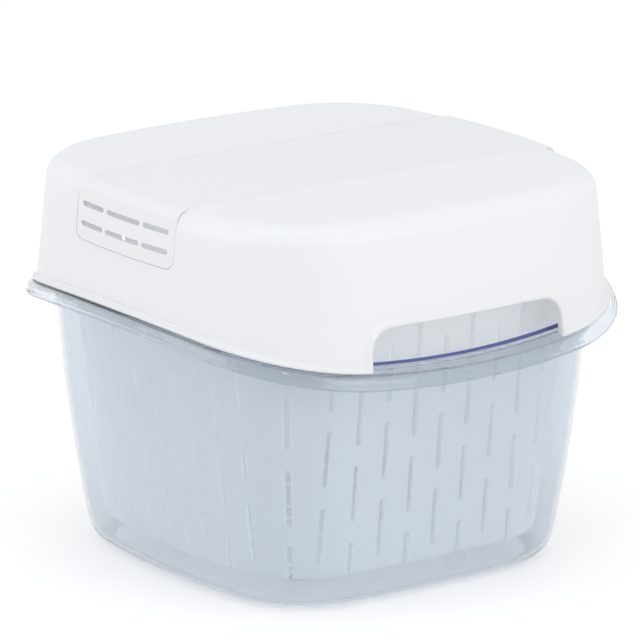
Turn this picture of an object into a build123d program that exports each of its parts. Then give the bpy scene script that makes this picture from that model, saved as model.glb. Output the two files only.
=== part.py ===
"""Food keeper: a clear tub, a slotted basket that stands in it, and a domed lid with a vent band."""
from build123d import *
import math
import os

# All sizes are in millimetres. +X points at a hand cut-out, -Y at a vent panel, Z is up from the table.

# Outline of the rim, seen from above: bowed sides and round corners
RIM_HALF_X = 135.0
RIM_HALF_Y = 134.0
RIM_BOW_X = 640.0
RIM_BOW_Y = 410.0
RIM_CORNER = 72.0

# The rim dips on the cut-out sides and rises on the vent sides
DIP_RATE = 6.8e-4
RISE_RATE = 4.6e-4
WAVE_LEVEL_AT = 109.0
SHEET_REACH = 160.0
TRIM_MARGIN = 12.6

# Tub
TUB_BASE_HALF_X = 103.4
TUB_BASE_HALF_Y = 102.9
TUB_BASE_BOW_X = 610.0
TUB_BASE_BOW_Y = 378.0
TUB_BASE_CORNER = 53.5
TUB_BELLY = 2.7
TUB_WALL = 2.2
TUB_FLOOR = 2.6
TUB_BOTTOM_ROUND = 12.0
FLANGE_Z = 138.0
FLANGE_WIDTH = 15.7
FLANGE_THICK = 1.8
COLLAR_DROP = 7.8
COLLAR_WALL = 2.0
COLLAR_ROUND = 4.0
BEAD_WIDTH = 2.6
BEAD_HEIGHT = 2.6

# Coloured line on the tub's mouth
LINE_INSET = 15.2
LINE_WIDTH = 1.6
LINE_HEIGHT = 1.5
LINE_SEAT_GAP = 0.1

# Basket
BASKET_BOTTOM_Z = 15.0
BASKET_TOP_Z = 172.0
BASKET_GAP_LOW = 7.0
BASKET_GAP_HIGH = 8.0
BASKET_WALL = 1.8
BASKET_FLOOR = 2.0
BASKET_BOTTOM_ROUND = 3.0
BASKET_RIM_WIDTH = 3.0
BASKET_RIM_THICK = 2.4
FOOT_RADIUS = 6.0
FOOT_OFFSET = 50.0
FOOT_OVERLAP = 1.0
SLOT_WIDTH = 3.1
SLOT_LENGTH = 30.5
SLOT_PITCH = 16.6
SLOT_RISE = 41.2
SLOT_COLUMNS = 9
LOW_ROW_Z = 18.4
LOW_ROWS = 4
HIGH_ROWS = 3
SLOT_START_INSET = 10.0
SLOT_CUT_DEPTH = 40.0
FLOOR_SLOT_LENGTH = 28.0
FLOOR_SLOT_RISE = 36.0
FLOOR_SLOT_ROWS = 4

# Lid
LID_SEAT_GAP = 0.3
LID_FOOT_INSET = 3.6
LID_FOOT_THICK = 2.2
LID_WALL_INSET = 5.8
LID_DRAFT = 0.10
LID_WALL = 2.6
LID_TOP_Z = 206.0
LID_DOME_RISE = 0.6
LID_EDGE_ROUND = 11.3
HOOD_LOW_Z = 110.0

# Hand cut-outs in the lid's +X and -X walls
GRIP_HALF_WIDTH = 59.1
GRIP_TOP_Z = 151.6
GRIP_CORNER = 12.0
LIP_WIDTH = 5.0
LIP_HEIGHT = 1.2

# Vent band that crosses the lid and ends in a slotted panel on each side
BAND_HALF_WIDTH = 43.5
BAND_LOW_Z = 174.9
BAND_CORNER = 6.0
BAND_EDGE_ROUND = 5.5
BAND_THICK = 1.4
BAND_SEAT_GAP = 0.2
BAND_SEAM = 0.4
VENT_SLOT_HEIGHT = 2.7
VENT_SLOT_SIDE = 20.9
VENT_SLOT_MIDDLE = 30.0
VENT_SLOT_GAP = 2.5
VENT_ROW_LOW_Z = 183.1
VENT_ROW_RISE = 10.2
WINDOW_MARGIN = 1.5

REACH = 170.0
RIM_SHAPE = (RIM_HALF_X, RIM_HALF_Y, RIM_BOW_X, RIM_BOW_Y, RIM_CORNER)
BASE_SHAPE = (TUB_BASE_HALF_X, TUB_BASE_HALF_Y, TUB_BASE_BOW_X, TUB_BASE_BOW_Y, TUB_BASE_CORNER)


def moved_in(shape, inset):
    """The same outline moved inwards: every half size and radius loses the inset."""
    return tuple(size - inset for size in shape)


def blend(low, high, share):
    """The outline that lies a share of the way from one outline to another."""
    return tuple(a + (b - a) * share for a, b in zip(low, high))


def corner_points(shape):
    """Where a corner arc touches the X side and the Y side, and its middle point."""
    half_x, half_y, bow_x, bow_y, corner = shape
    centre_x = Vector(half_x - bow_x, 0)
    centre_y = Vector(0, half_y - bow_y)
    apart = (centre_y - centre_x).length
    along = ((bow_x - corner) ** 2 - (bow_y - corner) ** 2 + apart ** 2) / (2 * apart)
    across = math.sqrt((bow_x - corner) ** 2 - along ** 2)
    line = (centre_y - centre_x).normalized()
    centre = centre_x + line * along + Vector(-line.Y, line.X) * across
    on_x = centre_x + (centre - centre_x).normalized() * bow_x
    on_y = centre_y + (centre - centre_y).normalized() * bow_y
    middle = centre + Vector(1, 1).normalized() * corner
    return on_x, middle, on_y


def outline(shape, mode=Mode.ADD):
    """Draws an outline in the open sketch: four bowed sides and four round corners."""
    on_x, middle, on_y = corner_points(shape)
    with BuildLine() as line:
        ThreePointArc((on_x.X, -on_x.Y), (shape[0], 0), (on_x.X, on_x.Y))
        ThreePointArc((on_x.X, on_x.Y), (middle.X, middle.Y), (on_y.X, on_y.Y))
        ThreePointArc((on_x.X, -on_x.Y), (middle.X, -middle.Y), (on_y.X, -on_y.Y))
        mirror(about=Plane.YZ)
        ThreePointArc((on_y.X, on_y.Y), (0, shape[1]), (-on_y.X, on_y.Y))
        ThreePointArc((on_y.X, -on_y.Y), (0, -shape[1]), (-on_y.X, -on_y.Y))
    make_face(line.edges(), mode=mode)


def wave_sheet(level):
    """Saddle sheet: level at the rim's corners, rising with y squared and falling with x squared."""
    square = SHEET_REACH ** 2
    rows = []
    for x, x_square in ((-SHEET_REACH, square), (0, -square), (SHEET_REACH, square)):
        row = []
        for y, y_square in ((-SHEET_REACH, square), (0, -square), (SHEET_REACH, square)):
            dip = DIP_RATE * (y_square - WAVE_LEVEL_AT ** 2)
            rise = RISE_RATE * (x_square - WAVE_LEVEL_AT ** 2)
            row.append((x, y, level + dip - rise))
        rows.append(row)
    return Face.make_bezier_surface(rows)


def wave_ring(level, thick, outer, inner):
    """Ring between two outlines whose under side and top follow the wave."""
    with BuildPart() as ring:
        extrude(wave_sheet(level), amount=thick, dir=(0, 0, 1))
        with BuildSketch(Plane.XY.offset(level - REACH / 2)):
            outline(moved_in(RIM_SHAPE, outer))
            outline(moved_in(RIM_SHAPE, inner), mode=Mode.SUBTRACT)
        extrude(amount=REACH, mode=Mode.INTERSECT)
    return ring.part


def tub_shape(z, inset):
    """Outline of the tub's wall at a height, moved inwards: straight draft plus the belly."""
    share = z / FLANGE_Z
    belly = 4 * TUB_BELLY * share * (1 - share)
    mouth = moved_in(RIM_SHAPE, FLANGE_WIDTH)
    return moved_in(blend(BASE_SHAPE, mouth, share), inset - belly)


def tub_body(low_z, inset, bottom_round):
    """Body of the tub's wall from a height upwards, with a round bottom edge."""
    with BuildPart() as body:
        for z in (low_z, FLANGE_Z / 2, FLANGE_Z + TRIM_MARGIN):
            with BuildSketch(Plane.XY.offset(z)):
                outline(tub_shape(z, inset))
        loft()
        fillet(body.faces().sort_by(Axis.Z)[0].edges(), bottom_round)
    return body.part


def basket_shape(z, inset):
    """Outline of the basket's wall at a height: parallel to the tub, inside its wall."""
    share = (z - BASKET_BOTTOM_Z) / (FLANGE_Z - BASKET_BOTTOM_Z)
    base = blend(BASE_SHAPE, moved_in(RIM_SHAPE, FLANGE_WIDTH), BASKET_BOTTOM_Z / FLANGE_Z)
    low = moved_in(base, TUB_WALL + BASKET_GAP_LOW)
    high = moved_in(RIM_SHAPE, FLANGE_WIDTH + TUB_WALL + BASKET_GAP_HIGH)
    return moved_in(blend(low, high, share), inset)


def hood_body(skin, edge_round=LID_EDGE_ROUND):
    """Body of the lid's hood with every face moved inwards by skin: drafted walls under a low crown."""
    dome_radius = (RIM_HALF_X - LID_WALL_INSET - LID_EDGE_ROUND) ** 2 / (2 * LID_DOME_RISE)
    with BuildPart() as body:
        for z in (HOOD_LOW_Z, LID_TOP_Z + LID_EDGE_ROUND):
            inset = LID_WALL_INSET + LID_DRAFT * (z - FLANGE_Z)
            with BuildSketch(Plane.XY.offset(z)):
                outline(moved_in(RIM_SHAPE, inset + skin))
        loft(ruled=True)
        with Locations((0, 0, LID_TOP_Z - dome_radius)):
            Sphere(dome_radius - skin, rotation=(90, 0, 0), mode=Mode.INTERSECT)
        fillet(body.faces().sort_by(Axis.Z)[-1].edges(), edge_round - skin)
    return body.part


def grip_profile(grow):
    """Arch of the hand cut-out in the open sketch, grown outwards by grow. Its foot is below the lid."""
    with Locations((0, (GRIP_TOP_Z + HOOD_LOW_Z) / 2)):
        RectangleRounded(
            2 * (GRIP_HALF_WIDTH + grow),
            GRIP_TOP_Z - HOOD_LOW_Z + 2 * grow,
            GRIP_CORNER + grow,
        )


def band_profile(grow):
    """Front view of the vent band in the open sketch, grown outwards by grow."""
    high_z = LID_TOP_Z + LID_EDGE_ROUND
    with Locations((0, (BAND_LOW_Z - grow + high_z) / 2)):
        RectangleRounded(
            2 * (BAND_HALF_WIDTH + grow),
            high_z - BAND_LOW_Z + grow,
            BAND_CORNER + grow,
        )


def slot_plane(angle, origin):
    """Upright sketch plane that looks outwards at an angle round the Z axis."""
    turn = math.radians(angle)
    return Plane(
        origin=origin,
        x_dir=(-math.sin(turn), math.cos(turn), 0),
        z_dir=(math.cos(turn), math.sin(turn), 0),
    )


def slot_column(across, rows, low_z):
    """One column of upright slots in the open sketch."""
    for row in range(rows):
        with Locations((across, low_z + row * SLOT_RISE)):
            SlotOverall(SLOT_LENGTH, SLOT_WIDTH, rotation=90)


os.makedirs("parts", exist_ok=True)

# Tub: wall and floor, flange, and a collar that rounds down to a bead
with BuildPart() as collar:
    add(wave_ring(FLANGE_Z - COLLAR_DROP, COLLAR_DROP, 0, FLANGE_WIDTH + TUB_WALL))
    top_face = collar.faces().filter_by(GeomType.BEZIER).sort_by(Axis.Z)[-1]
    fillet(top_face.outer_wire().edges(), COLLAR_ROUND)
    add(wave_ring(FLANGE_Z - COLLAR_DROP, COLLAR_DROP - FLANGE_THICK, COLLAR_WALL,
                  FLANGE_WIDTH + TUB_WALL), mode=Mode.SUBTRACT)
    add(wave_ring(FLANGE_Z - COLLAR_DROP, BEAD_HEIGHT, 0, BEAD_WIDTH))

with BuildPart() as tub:
    add(tub_body(0, 0, TUB_BOTTOM_ROUND))
    extrude(wave_sheet(FLANGE_Z), amount=REACH, dir=(0, 0, 1), mode=Mode.SUBTRACT)
    add(collar.part)
    add(tub_body(TUB_FLOOR, TUB_WALL, TUB_BOTTOM_ROUND - TUB_WALL), mode=Mode.SUBTRACT)
tub.part.label = "tub"
export_step(tub.part, "parts/tub.step")

# Coloured line: a thin ring seated on the mouth
with BuildPart() as rim_line:
    add(wave_ring(FLANGE_Z + LINE_SEAT_GAP, LINE_HEIGHT, LINE_INSET, LINE_INSET + LINE_WIDTH))
rim_line.part.label = "rim_line"
export_step(rim_line.part, "parts/rim_line.step")

# Basket: drafted wall, rim, floor and four feet, cut by staggered slots
with BuildPart() as basket:
    for z in (BASKET_BOTTOM_Z, BASKET_TOP_Z):
        with BuildSketch(Plane.XY.offset(z)):
            outline(basket_shape(z, 0))
    loft(ruled=True)
    fillet(basket.faces().sort_by(Axis.Z)[0].edges(), BASKET_BOTTOM_ROUND)
    with BuildSketch(Plane.XY.offset(BASKET_TOP_Z - BASKET_RIM_THICK)):
        outline(basket_shape(BASKET_TOP_Z, -BASKET_RIM_WIDTH))
    extrude(amount=BASKET_RIM_THICK)
    for z in (BASKET_BOTTOM_Z + BASKET_FLOOR, BASKET_TOP_Z):
        with BuildSketch(Plane.XY.offset(z)):
            outline(basket_shape(z, BASKET_WALL))
    loft(ruled=True, mode=Mode.SUBTRACT)
    with BuildSketch(Plane.XY.offset(TUB_FLOOR)):
        with GridLocations(2 * FOOT_OFFSET, 2 * FOOT_OFFSET, 2, 2):
            Circle(FOOT_RADIUS)
    extrude(amount=BASKET_BOTTOM_Z + FOOT_OVERLAP - TUB_FLOOR)
    with BuildSketch(Plane.XY.offset(BASKET_BOTTOM_Z)):
        with GridLocations(SLOT_PITCH, FLOOR_SLOT_RISE, SLOT_COLUMNS, FLOOR_SLOT_ROWS):
            SlotOverall(FLOOR_SLOT_LENGTH, SLOT_WIDTH, rotation=90)
        with GridLocations(2 * FOOT_OFFSET, 2 * FOOT_OFFSET, 2, 2):
            Circle(FOOT_RADIUS + SLOT_WIDTH, mode=Mode.SUBTRACT)
    extrude(amount=BASKET_FLOOR, mode=Mode.SUBTRACT)
    low_shape = basket_shape(BASKET_BOTTOM_Z, SLOT_START_INSET)
    for quarter in range(4):
        half = low_shape[quarter % 2]
        turn = math.radians(90 * quarter)
        side = slot_plane(90 * quarter, (half * math.cos(turn), half * math.sin(turn), 0))
        with BuildSketch(side):
            for column in range(SLOT_COLUMNS):
                step = column - (SLOT_COLUMNS - 1) / 2
                if column % 2:
                    slot_column(step * SLOT_PITCH, LOW_ROWS, LOW_ROW_Z)
                else:
                    slot_column(step * SLOT_PITCH, HIGH_ROWS, LOW_ROW_Z + SLOT_RISE / 2)
        extrude(amount=SLOT_CUT_DEPTH, mode=Mode.SUBTRACT)
    middle = corner_points(low_shape)[1]
    for sign_x, sign_y in ((1, 1), (-1, 1), (-1, -1), (1, -1)):
        angle = math.degrees(math.atan2(sign_y, sign_x))
        diagonal = slot_plane(angle, (sign_x * middle.X, sign_y * middle.Y, 0))
        with BuildSketch(diagonal):
            slot_column(0, LOW_ROWS, LOW_ROW_Z)
        extrude(amount=SLOT_CUT_DEPTH, mode=Mode.SUBTRACT)
basket.part.label = "basket"
export_step(basket.part, "parts/basket.step")

# Lid shell: hood, foot, raised lips round the hand cut-outs, recess and windows for the vent band
seat_z = FLANGE_Z + LID_SEAT_GAP
with BuildPart() as lips:
    add(hood_body(-LIP_HEIGHT))
    with BuildSketch(Plane.YZ):
        grip_profile(LIP_WIDTH)
    extrude(amount=REACH, both=True, mode=Mode.INTERSECT)

with BuildPart() as band_pad:
    add(hood_body(BAND_THICK + BAND_SEAT_GAP, BAND_EDGE_ROUND))
    with BuildSketch(Plane.XZ):
        band_profile(BAND_SEAM)
    extrude(amount=REACH, both=True, mode=Mode.INTERSECT)

vent_width = 2 * VENT_SLOT_SIDE + VENT_SLOT_MIDDLE + 2 * VENT_SLOT_GAP
with BuildPart() as lid_shell:
    add(hood_body(0))
    add(lips.part)
    with BuildSketch(Plane.XZ):
        band_profile(BAND_SEAM)
    extrude(amount=REACH, both=True, mode=Mode.SUBTRACT)
    add(band_pad.part)
    add(wave_ring(seat_z, LID_FOOT_THICK, LID_FOOT_INSET, LID_WALL_INSET + LID_WALL))
    add(hood_body(LID_WALL), mode=Mode.SUBTRACT)
    extrude(wave_sheet(seat_z), amount=REACH, dir=(0, 0, -1), mode=Mode.SUBTRACT)
    with BuildSketch(Plane.YZ):
        grip_profile(0)
    extrude(amount=REACH, both=True, mode=Mode.SUBTRACT)
    with BuildSketch(Plane.XZ):
        with Locations((0, VENT_ROW_LOW_Z + VENT_ROW_RISE / 2)):
            RectangleRounded(
                vent_width + 2 * WINDOW_MARGIN,
                VENT_ROW_RISE + VENT_SLOT_HEIGHT + 2 * WINDOW_MARGIN,
                VENT_SLOT_HEIGHT,
            )
    extrude(amount=REACH, both=True, mode=Mode.SUBTRACT)
lid_shell.part.label = "lid_shell"
export_step(lid_shell.part, "parts/lid_shell.step")

# Vent band: a strip of the hood's skin with a tighter bend, seated in the recess, with slots in rows of three
side_slot_at = (VENT_SLOT_MIDDLE + VENT_SLOT_SIDE) / 2 + VENT_SLOT_GAP
with BuildPart() as vent_band:
    add(hood_body(0, BAND_EDGE_ROUND))
    add(hood_body(BAND_THICK, BAND_EDGE_ROUND), mode=Mode.SUBTRACT)
    with BuildSketch(Plane.XZ):
        band_profile(0)
    extrude(amount=REACH, both=True, mode=Mode.INTERSECT)
    with BuildSketch(Plane.XZ):
        for row in range(2):
            row_z = VENT_ROW_LOW_Z + row * VENT_ROW_RISE
            with Locations((0, row_z)):
                SlotOverall(VENT_SLOT_MIDDLE, VENT_SLOT_HEIGHT)
            with Locations((-side_slot_at, row_z), (side_slot_at, row_z)):
                SlotOverall(VENT_SLOT_SIDE, VENT_SLOT_HEIGHT)
    extrude(amount=REACH, both=True, mode=Mode.SUBTRACT)
vent_band.part.label = "vent_band"
export_step(vent_band.part, "parts/vent_band.step")

for piece in (tub, rim_line, basket, lid_shell, vent_band):
    box = piece.part.bounding_box()
    print(piece.part.label, round(piece.part.volume / 1000, 1), "cm3", box.min, box.max)
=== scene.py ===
# %% [markdown]
# The food keeper is four moulded shells and a thin coloured line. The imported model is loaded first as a
# fixed frame: it says where every piece is and what it moves with. The shells are then made again as smooth
# surfaces, because a moulded wall is judged by how its reflections flow, and a CAD mesh breaks them into
# facets.

# %% Load the frame
import math

import bmesh
import bpy
import numpy as np
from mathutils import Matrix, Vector


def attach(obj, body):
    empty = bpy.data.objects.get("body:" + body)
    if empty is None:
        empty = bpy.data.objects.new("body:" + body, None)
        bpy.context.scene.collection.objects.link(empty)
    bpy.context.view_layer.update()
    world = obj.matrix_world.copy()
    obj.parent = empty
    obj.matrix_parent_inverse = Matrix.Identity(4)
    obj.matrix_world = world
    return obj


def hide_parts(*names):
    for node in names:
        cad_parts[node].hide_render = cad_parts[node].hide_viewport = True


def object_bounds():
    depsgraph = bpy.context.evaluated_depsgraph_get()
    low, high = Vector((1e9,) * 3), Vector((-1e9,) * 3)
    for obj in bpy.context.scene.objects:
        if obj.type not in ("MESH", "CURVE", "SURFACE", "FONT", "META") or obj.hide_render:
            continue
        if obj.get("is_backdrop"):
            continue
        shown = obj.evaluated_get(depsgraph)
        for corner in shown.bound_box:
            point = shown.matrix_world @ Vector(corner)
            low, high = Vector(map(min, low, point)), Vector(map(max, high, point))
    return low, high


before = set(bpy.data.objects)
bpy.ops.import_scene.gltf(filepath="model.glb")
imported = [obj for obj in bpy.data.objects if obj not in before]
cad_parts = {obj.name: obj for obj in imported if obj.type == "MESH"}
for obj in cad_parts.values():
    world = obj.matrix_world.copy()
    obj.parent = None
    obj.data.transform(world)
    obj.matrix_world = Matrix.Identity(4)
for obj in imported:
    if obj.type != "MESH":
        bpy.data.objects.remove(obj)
cad_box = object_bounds()

# %% [markdown]
# Sizes are in metres here. They are the same sizes that the CAD part is driven by, so each surface lies
# where its CAD node lies. An outline is five numbers: half width in X and in Y, the bow radius of the X
# sides and of the Y sides, and the corner radius.

# %% Sizes
MM = 0.001
RIM = np.array([135.0, 134.0, 640.0, 410.0, 72.0]) * MM
BASE = np.array([103.4, 102.9, 610.0, 378.0, 53.5]) * MM
DIP_RATE = 0.68
RISE_RATE = 0.46
WAVE_LEVEL_AT = 109.0 * MM
FLANGE_Z = 138.0 * MM
FLANGE_WIDTH = 15.7 * MM
FLANGE_THICK = 1.8 * MM
COLLAR_DROP = 7.8 * MM
TUB_WALL = 2.2 * MM
TUB_FLOOR = 2.6 * MM
TUB_BELLY = 2.7 * MM
TUB_ROUND = 12.0 * MM
BASKET_LOW = 15.0 * MM
BASKET_TOP = 172.0 * MM
BASKET_WALL = 1.8 * MM
BASKET_FLOOR = 2.0 * MM
BASKET_GAP_LOW = 7.0 * MM
BASKET_GAP_HIGH = 8.0 * MM
LID_TOP = 206.0 * MM
CROWN_RISE = 0.6 * MM
LID_INSET = 5.8 * MM
LID_DRAFT = 0.10
LID_ROUND = 11.3 * MM
LID_WALL = 2.6 * MM
SEAT_GAP = 0.3 * MM
SEAT_Z = FLANGE_Z + SEAT_GAP
AROUND = 384

# %% [markdown]
# Every shell follows one family of outlines: bowed sides joined by round corners. Moving an outline inwards
# takes the same amount off all five numbers and leaves the arc centres where they are, so walls stay
# parallel. One function gives points on any outline, and it takes whole arrays of outlines at once.

# %% Outline of the container
def arc_centres(shape):
    """Centres and end angles of the arcs of the first quarter.

    The X side's arc is centred on the X axis and the Y side's on the Y axis. The corner's centre lies at
    (bow - corner) from each of them, where two such circles cross.
    """
    half_x, half_y, bow_x, bow_y, corner = np.moveaxis(shape, -1, 0)
    cx, cy = half_x - bow_x, half_y - bow_y
    apart = np.hypot(cx, cy)
    along = ((bow_x - corner) ** 2 - (bow_y - corner) ** 2 + apart ** 2) / (2 * apart)
    across = np.sqrt((bow_x - corner) ** 2 - along ** 2)
    px = cx - cx / apart * along - cy / apart * across
    py = cy / apart * along - cx / apart * across
    return cx, cy, px, py, np.arctan2(py, px - cx), np.arctan2(py - cy, px)


def side_shares(shape):
    """Shares of a quarter outline's length where the X side ends and the Y side starts, and that length."""
    turn_x, turn_y = arc_centres(shape)[4:]
    lengths = np.array([shape[2] * turn_x, shape[4] * (turn_y - turn_x), shape[3] * (math.pi / 2 - turn_y)])
    ends = np.cumsum(lengths)
    return ends[0] / ends[2], ends[1] / ends[2], ends[2]


REFERENCE_INSET = 8.0 * MM
SHARE_X, SHARE_Y, QUARTER_LENGTH = side_shares(RIM - REFERENCE_INSET)


def outline(shape, turn):
    """Points at a number of quarter turns round outlines, counted from the middle of the +X side.

    Within a quarter the point runs along half the X side's arc, the corner's arc and half the Y side's arc,
    each as centre plus radius times the cosine and sine of its angle. Other quarters are mirror images.
    """
    shape, turn = np.asarray(shape, float), np.asarray(turn, float)
    quarter = np.floor(turn).astype(int) % 4
    share = turn - np.floor(turn)
    share = np.where(quarter % 2 == 1, 1 - share, share)
    cx, cy, px, py, turn_x, turn_y = arc_centres(shape)
    on_x, on_y = share <= SHARE_X, share >= SHARE_Y
    corner_angle = turn_x + (turn_y - turn_x) * (share - SHARE_X) / (SHARE_Y - SHARE_X)
    angle = np.where(on_x, turn_x * share / SHARE_X, corner_angle)
    angle = np.where(on_y, turn_y + (math.pi / 2 - turn_y) * (share - SHARE_Y) / (1 - SHARE_Y), angle)
    radius = np.where(on_x, shape[..., 2], np.where(on_y, shape[..., 3], shape[..., 4]))
    x = np.where(on_x, cx, np.where(on_y, 0.0, px)) + radius * np.cos(angle)
    y = np.where(on_x, 0.0, np.where(on_y, cy, py)) + radius * np.sin(angle)
    sign_x = np.where((quarter == 1) | (quarter == 2), -1, 1)
    sign_y = np.where(quarter >= 2, -1, 1)
    return np.stack([x * sign_x, y * sign_y], -1)


def wave(xy):
    """Height of the rim's wave: it rises with y squared and falls with x squared."""
    past_level = xy ** 2 - WAVE_LEVEL_AT ** 2
    return DIP_RATE * past_level[..., 1] - RISE_RATE * past_level[..., 0]


TURNS = np.arange(AROUND) * 4 / AROUND
rim_points = outline(RIM, TURNS)
rim_wave = wave(rim_points)
print("rim:", rim_points.max(0) / MM, "wave from", rim_wave.min() / MM, "to", rim_wave.max() / MM)

# %% [markdown]
# A surface is a grid of points, row by row, turned into quads. Rows that shrink to one point close a shell
# with a pole, and merging by distance welds seams. Normals are then turned outwards on the closed shell.

# %% Mesh helpers
SHARP = 35.0
WELD_DISTANCE = 1e-6
SLIVER_LENGTH = 1e-7


def grid_faces(rows, cols, start):
    """Quads of a grid that starts at an index: a point and its neighbours right, above right and above."""
    index = start + np.arange(rows * cols).reshape(rows, cols)
    return np.stack([index[:-1, :-1], index[:-1, 1:], index[1:, 1:], index[1:, :-1]], -1).reshape(-1, 4)


def closed_around(grid):
    """The grid with its first column repeated at the end."""
    return np.concatenate([grid, grid[:, :1]], 1)


def piece_from_grids(name, grids, sharp=SHARP):
    """One object from several point grids, welded, turned outwards and shaded smooth up to an angle."""
    points, faces, start = [], [], 0
    for grid in grids:
        rows, cols = grid.shape[:2]
        points.append(grid.reshape(-1, 3))
        faces.append(grid_faces(rows, cols, start))
        start += rows * cols
    mesh = bpy.data.meshes.new(name)
    mesh.from_pydata(np.concatenate(points).tolist(), [], np.concatenate(faces).tolist())
    return finish_mesh(name, mesh, sharp)


def finish_mesh(name, mesh, sharp=SHARP):
    """Welds a mesh, turns its faces outwards, shades it and links it as an object at the origin."""
    work = bmesh.new()
    work.from_mesh(mesh)
    bmesh.ops.remove_doubles(work, verts=work.verts, dist=WELD_DISTANCE)
    bmesh.ops.dissolve_degenerate(work, edges=work.edges, dist=SLIVER_LENGTH)
    bmesh.ops.recalc_face_normals(work, faces=work.faces)
    work.to_mesh(mesh)
    work.free()
    mesh.polygons.foreach_set("use_smooth", [True] * len(mesh.polygons))
    mesh.set_sharp_from_angle(angle=math.radians(sharp))
    piece = bpy.data.objects.new(name, mesh)
    bpy.context.scene.collection.objects.link(piece)
    return piece


# %% [markdown]
# The camera stands far away with a long lens, as a catalogue picture is taken. Its angle round the object
# and its height come from the outline in the photograph: the corner between the vent side and the cut-out
# side points almost at it.

# %% Camera
AZIMUTH = math.radians(54.1)
ELEVATION = math.radians(15.2)
CAMERA_DISTANCE = 3.0585
AIM = Vector((0.0, 0.0, 0.1205))
PIXELS_PER_RADIAN = 5906.8
IMAGE_WIDTH = 640

camera_data = bpy.data.cameras.new("camera")
camera_data.sensor_width = 36.0
camera_data.lens = PIXELS_PER_RADIAN * camera_data.sensor_width / IMAGE_WIDTH
camera_data.clip_end = 50.0
camera = bpy.data.objects.new("camera", camera_data)
bpy.context.scene.collection.objects.link(camera)
back = Vector((
    math.sin(AZIMUTH) * math.cos(ELEVATION),
    -math.cos(AZIMUTH) * math.cos(ELEVATION),
    math.sin(ELEVATION),
))
camera.location = AIM + back * CAMERA_DISTANCE
camera.rotation_euler = back.to_track_quat("Z", "Y").to_euler()
bpy.context.scene.camera = camera
print("camera at", [round(v, 3) for v in camera.location], "lens", round(camera_data.lens, 1))

# %% [markdown]
# The keeper is photographed on plain white. More light would also make the floor white, but it would wash
# out the white lid. So the room is pure white, and the pale floor glows a little, only for the camera and
# for mirrored rays, and the floor keeps its soft shadow. Cycles counts a refracted ray as glossy too, so
# both are also white through the clear tub.

# %% Room light
ROOM_STRENGTH = 0.80
WHITE = (1.0, 1.0, 1.0)

scene = bpy.context.scene
scene.view_settings.view_transform = "Standard"


def camera_or_mirrored(tree):
    """Socket that is 1 for camera rays and for mirrored or refracted rays, and 0 for all others."""
    ray = tree.nodes.new("ShaderNodeLightPath")
    either = tree.nodes.new("ShaderNodeMath")
    either.operation = "MAXIMUM"
    tree.links.new(ray.outputs["Is Camera Ray"], either.inputs[0])
    tree.links.new(ray.outputs["Is Glossy Ray"], either.inputs[1])
    return either.outputs[0]


world = bpy.data.worlds.new("studio")
scene.world = world
world.use_nodes = True
nodes, links = world.node_tree.nodes, world.node_tree.links
nodes.clear()
world_out = nodes.new("ShaderNodeOutputWorld")
room_light = nodes.new("ShaderNodeBackground")
room_light.inputs["Color"].default_value = (*WHITE, 1.0)
room_light.inputs["Strength"].default_value = ROOM_STRENGTH
white_room = nodes.new("ShaderNodeBackground")
white_room.inputs["Color"].default_value = (*WHITE, 1.0)
white_room.inputs["Strength"].default_value = 1.0
mix_world = nodes.new("ShaderNodeMixShader")
links.new(camera_or_mirrored(world.node_tree), mix_world.inputs["Fac"])
links.new(room_light.outputs[0], mix_world.inputs[1])
links.new(white_room.outputs[0], mix_world.inputs[2])
links.new(mix_world.outputs[0], world_out.inputs["Surface"])
print("room strength", ROOM_STRENGTH)

# %% [markdown]
# Large lamps give broad, weak highlights, as a light tent does. The key lamp stands on the cut-out side and
# the fill lamp on the vent side, and the faintly blue top lamp cools the lid's top. Each is turned by a
# direction, which is easier to read than angles.

# %% Lamps
LAMP_TARGET = Vector((0.0, 0.0, 0.1))


def area_lamp(name, place, size, power, colour=WHITE):
    """A square lamp at a place, turned towards the object."""
    data = bpy.data.lights.new(name, "AREA")
    data.size = size
    data.energy = power
    data.color = colour
    lamp = bpy.data.objects.new(name, data)
    lamp.location = place
    lamp.rotation_euler = (Vector(place) - LAMP_TARGET).to_track_quat("Z", "Y").to_euler()
    scene.collection.objects.link(lamp)


area_lamp("key_lamp", place=(2.0, 0.3, 0.9), size=1.6, power=12.0)
area_lamp("fill_lamp", place=(-0.8, -2.0, 0.9), size=1.8, power=12.5)
area_lamp("top_lamp", place=(0.2, -0.2, 2.2), size=1.8, power=6.0, colour=(0.80, 0.90, 1.0))
print("lamps:", [lamp.name for lamp in bpy.data.lights])

# %% [markdown]
# The floor is one large square of matt paint with a glow added. With no floor the white room would show there
# too, but nothing would catch the soft shadow that stands the keeper on the ground.

# %% Floor
FLOOR_GREY = 0.8
FLOOR_GLOW = 0.28
FLOOR_HALF = 6.0

floor_mesh = bpy.data.meshes.new("floor")
floor_corners = [(x * FLOOR_HALF, y * FLOOR_HALF, 0) for x, y in ((-1, -1), (1, -1), (1, 1), (-1, 1))]
floor_mesh.from_pydata(floor_corners, [], [(0, 1, 2, 3)])
floor = bpy.data.objects.new("floor", floor_mesh)
scene.collection.objects.link(floor)
floor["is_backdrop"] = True

floor_paint = bpy.data.materials.new("floor_paint")
floor_paint.use_nodes = True
nodes, links = floor_paint.node_tree.nodes, floor_paint.node_tree.links
nodes.clear()
floor_out = nodes.new("ShaderNodeOutputMaterial")
matt = nodes.new("ShaderNodeBsdfDiffuse")
matt.inputs["Color"].default_value = (FLOOR_GREY, FLOOR_GREY, FLOOR_GREY, 1.0)
glow = nodes.new("ShaderNodeEmission")
glow.inputs["Color"].default_value = (*WHITE, 1.0)
glow_level = nodes.new("ShaderNodeMath")
glow_level.operation = "MULTIPLY"
glow_level.inputs[1].default_value = FLOOR_GLOW
both = nodes.new("ShaderNodeAddShader")
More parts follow.
